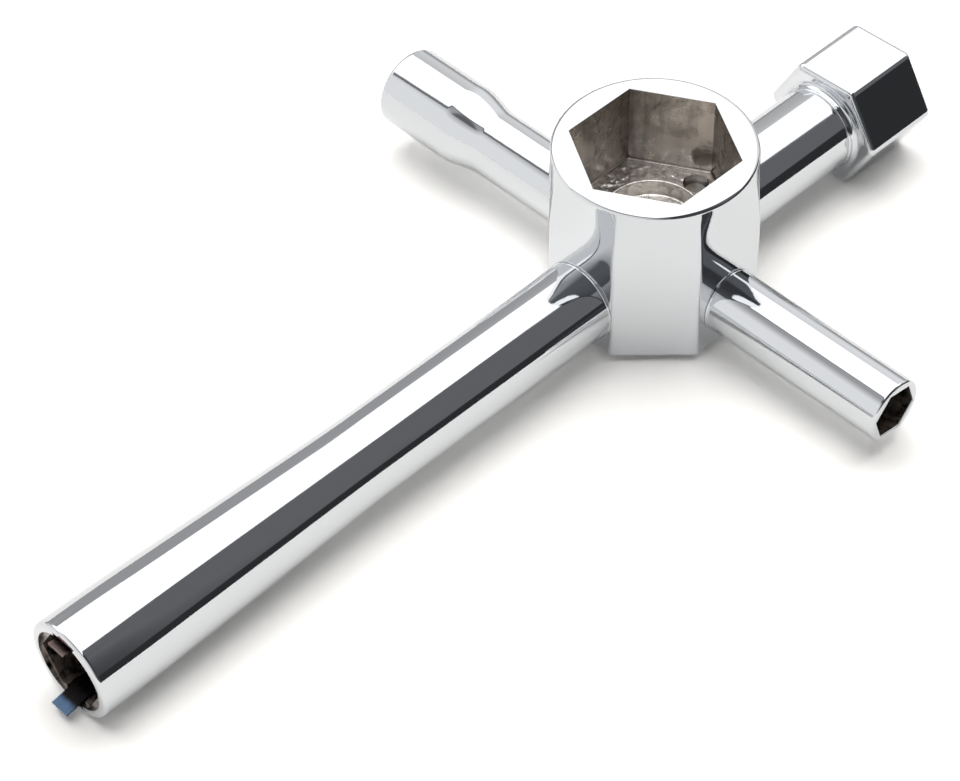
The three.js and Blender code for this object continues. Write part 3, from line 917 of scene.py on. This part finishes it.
class WRENCH_OT_head(bpy.types.Operator):
    """Build the thick shank and the hex head that is pressed on it"""

    bl_idname = "wrench.build_head"
    bl_label = "Build Hex Head"

    def execute(self, context):
        """Skins the shank with its two spigots, then the head round its bore."""
        scene = context.scene
        hub, arms, head, colours = scene.wrench_hub, scene.wrench_arms, scene.wrench_head, scene.wrench_finish
        place = along(HEAD_WAY, arms.axis_height)
        shank = circle(head.shank_radius)
        skin = Skin()
        begin_arm(skin, arms, hub, head.shank_radius)
        skin.outer_edge(shank, head.shank_end, arms.shoulder_round)
        skin.ring(circle(head.spigot_radius), head.shank_end)
        skin.ring(circle(head.spigot_radius), head.spigot_end - arms.spigot_lead)
        skin.ring(circle(head.spigot_radius), head.spigot_end, -arms.spigot_lead)
        skin.tip(head.spigot_end)
        materials = chrome_finish(colours), socket_finish(colours)
        piece = skin.build("head_arm_body", place, materials)
        bore_end = PIN_LOW.z - SHANK_PIN_ROOM
        cut(piece, [plain_cylinder("pin_bore", hub.pin_hole_radius, bore_end, hub.height, PIN_AXIS)])
        finish_piece(piece, "head_arm", "wrench")

        hexagon = rounded_polygon(HEXAGON, head.flats, head.corner_round, head.head_turn)
        socket = polygon(HEXAGON, head.socket_flats, head.head_turn)
        bore = circle(head.bore_radius)
        back = head.front - head.hex_length
        spread = corner_spread(HEXAGON, head.flats, head.corner_round)
        skin = Skin(corner_angles(HEXAGON, head.head_turn, spread))
        collar_start = head.shank_end + arms.seat
        skin.ring(bore, collar_start, finish=INSIDE)
        skin.base_edge(shank, collar_start, arms.shoulder_round)
        skin.arc(shank, head.collar, back - head.collar, head.collar, math.pi, QUARTER)
        skin.base_edge(hexagon, back, head.edge_round)
        skin.outer_edge(hexagon, head.front, head.edge_round)
        skin.mouth_edge(socket, head.front, arms.mouth_round)
        floor = head.front - head.socket_depth
        skin.ring(socket, floor, finish=INSIDE)
        skin.ring(bore, floor, finish=INSIDE)
        piece = skin.build("hex_head_body", place, materials, closed=True)
        finish_piece(piece, "hex_head", "wrench")
        return {"FINISHED"}


class WRENCH_OT_clip(bpy.types.Operator):
    """Build the spring clip: its bend and its two legs"""

    bl_idname = "wrench.build_clip"
    bl_label = "Build Spring Clip"

    def execute(self, context):
        """Sweeps the leaf round the bend and along each leg."""
        scene = context.scene
        clip, colours, axis_height = scene.wrench_clip, scene.wrench_finish, scene.wrench_arms.axis_height
        steel = spring_finish(colours, clip, axis_height)
        bend_station = -BEND_LOW.y
        points = []
        for i in range(STRIP_STEPS + 1):
            angle = QUARTER - math.pi * i / STRIP_STEPS
            reach = bend_station - clip.bend_radius * math.cos(angle)
            points.append(Vector((0, -reach, clip.bend_radius * math.sin(angle))))
        lift = Matrix.Translation((0, 0, axis_height))
        piece = leaf_strip("clip_bend_leaf", path_with_normals(points), clip, lift, steel)
        finish_piece(piece, "clip_bend", "wrench")

        rise = (clip.crest_height - clip.bend_radius) / (clip.crest - clip.leg_start)
        flare = math.tan(clip.flare) - rise
        legs = (("upper", 1, clip.upper_end), ("lower", -1, clip.lower_end))
        for name, up, end in legs:
            points = []
            for i in range(STRIP_STEPS * 2 + 1):
                station = clip.leg_start + (end - clip.leg_start) * i / (STRIP_STEPS * 2)
                height = clip.bend_radius + rise * (station - clip.leg_start)
                height += flare * ramp(station - clip.crest, clip.crest_blend)
                points.append(Vector((0, -station, up * height)))
            piece = leaf_strip(f"clip_leaf_{name}", path_with_normals(points), clip, lift, steel)
            finish_piece(piece, f"clip_leg_{name}", f"clip_{name}")
        return {"FINISHED"}


class WRENCH_OT_pin(bpy.types.Operator):
    """Build the lock pin in the hub's floor"""

    bl_idname = "wrench.build_pin"
    bl_label = "Build Lock Pin"

    def execute(self, context):
        """Turns the pin with a chamfer at both ends."""
        scene = context.scene
        pin, colours = scene.wrench_pin, scene.wrench_finish
        skin = Skin()
        side = circle(pin.radius)
        skin.tip(PIN_LOW.z)
        skin.ring(side, PIN_LOW.z, -pin.chamfer)
        skin.ring(side, PIN_LOW.z + pin.chamfer)
        skin.ring(side, PIN_HIGH.z - pin.chamfer)
        skin.ring(side, PIN_HIGH.z, -pin.chamfer)
        skin.tip(PIN_HIGH.z)
        piece = skin.build("lock_pin_body", PIN_AXIS, (pin_finish(colours),))
        finish_piece(piece, "lock_pin", "wrench")
        return {"FINISHED"}


# Studio walls: brightness by bearing, in degrees to the right of straight away from the camera
WALL_BANDS = (
    (-180, 0.5), (-165, 0.9), (-150, 1.0), (-72, 1.0), (-45, 0.62), (-24, 0.40), (-14, 0.42),
    (12, 0.86), (22, 1.0), (60, 1.0), (74, 0.16), (108, 0.16), (118, 0.07), (165, 0.07), (180, 0.5),
)
# Edges on the walls, from where each starts to where it is full, and the brightness at both where it has its own
LEFT_WALL, LEFT_FALL = (0.1, -0.3), (36, 52, 1.0, 0.45)
BACK_WALL, BACK_FOOT = (0.5, 0.8), (-1, 17, 0.38, 1.0)
FLAG_SIDE, FLAG_TOP, FLAG_SHINE = (0.72, 0.86), (12.5, 10.5), 0.034
# Edges overhead, in units of the height there, from where each starts to where it is full
LOWEST_RISE = 0.02
CEILING_REAR, CEILING_FRONT, CEILING_RIGHT = (-0.1, -0.3), (-1.4, -1.1), (0.8, 0.55)
CEILING_SLANT, CEILING_LEFT, CEILING_SHINE = 1.155, (-1.25, -1.15), (-0.4, 0.3, 0.16, 0.06)
BOX_LEFT, BOX_RIGHT, BOX_RISE = (-1.9, -1.7), (1.75, 1.55), (0.04, 0.1)
BOX_FRONT, NOSE_REACH, NOSE_SLOPE, FRONT_EDGE = 0.195, 0.7, 1.45, (-0.025, 0.025)
BOX_REAR, REAR_SLOPE, REAR_EDGE = 1.40, 0.45, (-0.06, 0.05)
TRIM_EDGES, TRIM_END, TRIM_SHINE = ((-0.095, -0.065), (0.005, -0.025)), (-0.2, -0.3), 0.2
LAMP_LEAN, LAMP_EDGE = (0.98, 0.2), (0.84, 0.96)
# Dark parts of the studio are a little cooler than bright ones
COOL_RANGE, COOL_GREY, PLAIN_WHITE = (0.0, 0.6), (0.96, 0.985, 1.05), (1.0, 1.0, 1.0)


class WRENCH_OT_stage(bpy.types.Operator):
    """Set up the floor, the light and the camera"""

    bl_idname = "wrench.set_stage"
    bl_label = "Set Up Studio"

    def execute(self, context):
        """Lays the floor under the resting wrench, lights it and aims the camera."""
        scene = context.scene
        self.lay_floor(scene)
        self.light(scene)
        self.aim(scene)
        scene.view_settings.view_transform = "Standard"
        return {"FINISHED"}

    def lay_floor(self, scene):
        """Lays the floor through the wrench's resting points: the long arm's tip and the head's lower flat."""
        stage, head, plug = scene.wrench_stage, scene.wrench_head, scene.wrench_plug_arm
        tip = Vector((0, plug.rim_round - plug.reach, PLUG_LOW.z))
        axis = Vector((0, head.front - head.hex_length, scene.wrench_arms.axis_height))
        down = Vector((math.sin(-head.head_turn), 0, -math.cos(head.head_turn)))
        across = Vector((math.cos(head.head_turn), 0, math.sin(-head.head_turn)))
        foot = axis + down * (head.flats / 2)
        normal = across.cross(foot - tip).normalized()
        if normal.z < 0:
            normal.negate()
        right, away = self.studio_axes(stage)
        corners = []
        for x, y in (
            (-stage.floor_left, -stage.floor_near), (stage.floor_right, -stage.floor_near),
            (stage.floor_right, stage.floor_far), (-stage.floor_left, stage.floor_far),
        ):
            point = right * x + away * y
            point.z = tip.z - normal.xy.dot(point.xy - tip.xy) / normal.z
            corners.append(point)
        mesh = bpy.data.meshes.new("floor")
        mesh.from_pydata(corners, [], [(0, 1, 2, 3)])
        floor = bpy.data.objects.new("floor", mesh)
        scene.collection.objects.link(floor)
        mesh.materials.append(floor_finish(stage))

    def studio_axes(self, stage):
        """The level directions to the picture's right and away from the camera."""
        right = Vector((math.cos(stage.azimuth), math.sin(stage.azimuth), 0))
        return right, Vector((-right.y, right.x, 0))

    def light(self, scene):
        """Lights the studio with a procedural world, which is plain white to the camera."""
        stage = scene.wrench_stage
        world = bpy.data.worlds.new("studio")
        world.use_nodes = True
        scene.world = world
        nodes = Nodes(world.node_tree)
        look = nodes.add("ShaderNodeTexCoord").outputs["Generated"]
        turned = nodes.add("ShaderNodeVectorRotate", {"Vector": look, "Angle": -stage.azimuth}, rotation_type="Z_AXIS")
        right, away, up = nodes.add("ShaderNodeSeparateXYZ", {0: turned.outputs[0]}).outputs
        level = nodes.maths("MAXIMUM", up, LOWEST_RISE)
        side = nodes.maths("DIVIDE", right, level)
        depth = nodes.maths("DIVIDE", away, level)
        shine = self.walls(nodes, right, away, up)
        shine = self.ceiling(nodes, shine, side, depth)
        shine = self.soft_box(nodes, shine, side, depth, up, stage.lamp)
        # Matt surfaces get little of this, and most of their light from a small lamp high above
        lean_up, lean_away = LAMP_LEAN
        high = nodes.maths("ADD", nodes.maths("MULTIPLY", up, lean_up), nodes.maths("MULTIPLY", away, lean_away))
        high = nodes.remap(high, *LAMP_EDGE, 0.0, stage.top_light)
        matt = nodes.maths("ADD", nodes.maths("MULTIPLY", shine, stage.wall_light), high)
        rays = nodes.add("ShaderNodeLightPath").outputs
        shine = nodes.blend(rays["Is Diffuse Ray"], shine, matt)
        shine = nodes.blend(rays["Is Camera Ray"], shine, 1.0)
        tone = nodes.tint(nodes.remap(shine, *COOL_RANGE), rgba(COOL_GREY), rgba(PLAIN_WHITE))
        background = nodes.add("ShaderNodeBackground", {"Color": tone, "Strength": shine})
        nodes.add("ShaderNodeOutputWorld", {"Surface": background.outputs[0]})

    def walls(self, nodes, right, away, up):
        """The brightness of the walls, which changes with the bearing."""
        bearing = nodes.maths("DEGREES", nodes.maths("ARCTAN2", right, away))
        climb = nodes.maths("DEGREES", nodes.maths("ARCSINE", up))
        wall = nodes.add("ShaderNodeValToRGB", {0: nodes.remap(bearing, -180, 180, kind="LINEAR")})
        self.fill_ramp(wall.color_ramp, WALL_BANDS)
        # The left wall darkens with height
        left = nodes.remap(right, *LEFT_WALL)
        fall = nodes.remap(climb, *LEFT_FALL, "LINEAR")
        shine = nodes.maths("MULTIPLY", wall.outputs[0], nodes.blend(left, 1.0, fall))
        # The back wall is grey at its foot
        foot = nodes.maths("MINIMUM", nodes.remap(climb, *BACK_FOOT), shine)
        shine = nodes.blend(nodes.remap(away, *BACK_WALL), shine, foot)
        # A dark flag stands low on the right
        flag = nodes.product(nodes.remap(right, *FLAG_SIDE), nodes.remap(climb, *FLAG_TOP))
        return nodes.blend(flag, shine, FLAG_SHINE)

    def ceiling(self, nodes, shine, side, depth):
        """Darkens the ceiling on the camera's side of the soft box, up to a slanting line."""
        slant = nodes.maths("ADD", depth, nodes.maths("MULTIPLY", side, CEILING_SLANT))
        cover = nodes.product(
            nodes.remap(depth, *CEILING_REAR), nodes.remap(depth, *CEILING_FRONT),
            nodes.remap(side, *CEILING_RIGHT), nodes.remap(slant, *CEILING_LEFT),
        )
        return nodes.blend(cover, shine, nodes.remap(side, *CEILING_SHINE))

    def soft_box(self, nodes, shine, side, depth, up, lamp):
        """Hangs the soft box, whose front comes forward in the middle and has a dark edge on its left."""
        forward = nodes.maths("MULTIPLY", nodes.maths("ABSOLUTE", side), NOSE_SLOPE)
        front_line = nodes.maths("MINIMUM", nodes.maths("SUBTRACT", forward, NOSE_REACH), BOX_FRONT)
        inward = nodes.maths("SUBTRACT", depth, front_line)
        rear_line = nodes.maths("SUBTRACT", BOX_REAR, nodes.maths("MULTIPLY", side, REAR_SLOPE))
        panel = nodes.product(
            nodes.remap(inward, *FRONT_EDGE), nodes.remap(nodes.maths("SUBTRACT", rear_line, depth), *REAR_EDGE),
            nodes.remap(side, *BOX_LEFT), nodes.remap(side, *BOX_RIGHT), nodes.remap(up, *BOX_RISE),
        )
        trim = nodes.product(*(nodes.remap(inward, *edge) for edge in TRIM_EDGES), nodes.remap(side, *TRIM_END))
        return nodes.blend(panel, nodes.blend(trim, shine, TRIM_SHINE), lamp)

    def fill_ramp(self, bands, stops):
        """Sets a colour ramp's stops from bearings and brightnesses."""
        while len(bands.elements) > 1:
            bands.elements.remove(bands.elements[-1])
        for i, (bearing, level) in enumerate(stops):
            place = (bearing + 180) / 360
            stop = bands.elements.new(place) if i else bands.elements[0]
            stop.position = place
            stop.color = (level, level, level, 1.0)

    def aim(self, scene):
        """Places the camera so that the hub falls where it does in the photograph."""
        stage = scene.wrench_stage
        right, away = self.studio_axes(stage)
        back = Vector((0, 0, 1)) * math.sin(stage.elevation) - away * math.cos(stage.elevation)
        up = back.cross(right)
        rolled = Matrix.Rotation(stage.roll, 3, back)
        right, up = rolled @ right, rolled @ up
        offset = stage.distance / stage.lens
        place = Vector((0, 0, stage.aim_height)) + back * stage.distance
        place -= right * stage.aim_right * offset + up * stage.aim_up * offset
        data = bpy.data.cameras.new("camera")
        data.sensor_fit = "HORIZONTAL"
        data.lens = stage.lens * data.sensor_width
        camera = bpy.data.objects.new("camera", data)
        camera.matrix_world = Matrix.Translation(place) @ Matrix((right, up, back)).transposed().to_4x4()
        scene.collection.objects.link(camera)
        scene.camera = camera


class WRENCH_PT_panel(bpy.types.Panel):
    """Panel with the wrench's building steps"""

    bl_idname = "WRENCH_PT_panel"
    bl_label = "Glow Plug Wrench"
    bl_space_type = "VIEW_3D"
    bl_region_type = "UI"
    bl_category = "Wrench"

    def draw(self, context):
        """Lists each group's sizes under its button."""
        for name, group, operator in GROUPS:
            box = self.layout.box()
            if operator:
                box.operator(operator.bl_idname)
            for key in group.__annotations__:
                box.prop(getattr(context.scene, name), key)


# Each group of sizes on the scene, with the operator that uses it most
GROUPS = (
    ("wrench_finish", FinishColours, None),
    ("wrench_arms", ArmSizes, None),
    ("wrench_hub", HubSizes, WRENCH_OT_hub),
    ("wrench_plug_arm", PlugArmSizes, WRENCH_OT_plug_arm),
    ("wrench_short_arm", ShortArmSizes, WRENCH_OT_short_arm),
    ("wrench_swaged_arm", SwagedArmSizes, WRENCH_OT_swaged_arm),
    ("wrench_head", HeadSizes, WRENCH_OT_head),
    ("wrench_clip", ClipSizes, WRENCH_OT_clip),
    ("wrench_pin", PinSizes, WRENCH_OT_pin),
    ("wrench_stage", StageSizes, WRENCH_OT_stage),
)
CLASSES = (*(operator for _, _, operator in GROUPS if operator), WRENCH_PT_panel)


def register():
    """Registers the add-on's classes and gives the scene its sizes."""
    for name, group, _ in GROUPS:
        bpy.utils.register_class(group)
        setattr(bpy.types.Scene, name, bpy.props.PointerProperty(type=group))
    for cls in CLASSES:
        bpy.utils.register_class(cls)


def unregister():
    """Takes the add-on's classes out again."""
    for cls in reversed(CLASSES):
        bpy.utils.unregister_class(cls)
    for name, group, _ in reversed(GROUPS):
        delattr(bpy.types.Scene, name)
        bpy.utils.unregister_class(group)


def main():
    """Builds the wrench and its studio."""
    register()
    bpy.ops.wrench.build_hub()
    bpy.ops.wrench.build_plug_arm()
    bpy.ops.wrench.build_short_arm()
    bpy.ops.wrench.build_swaged_arm()
    bpy.ops.wrench.build_head()
    bpy.ops.wrench.build_clip()
    bpy.ops.wrench.build_pin()
    bpy.ops.wrench.set_stage()


if __name__ == "__main__":
    main()
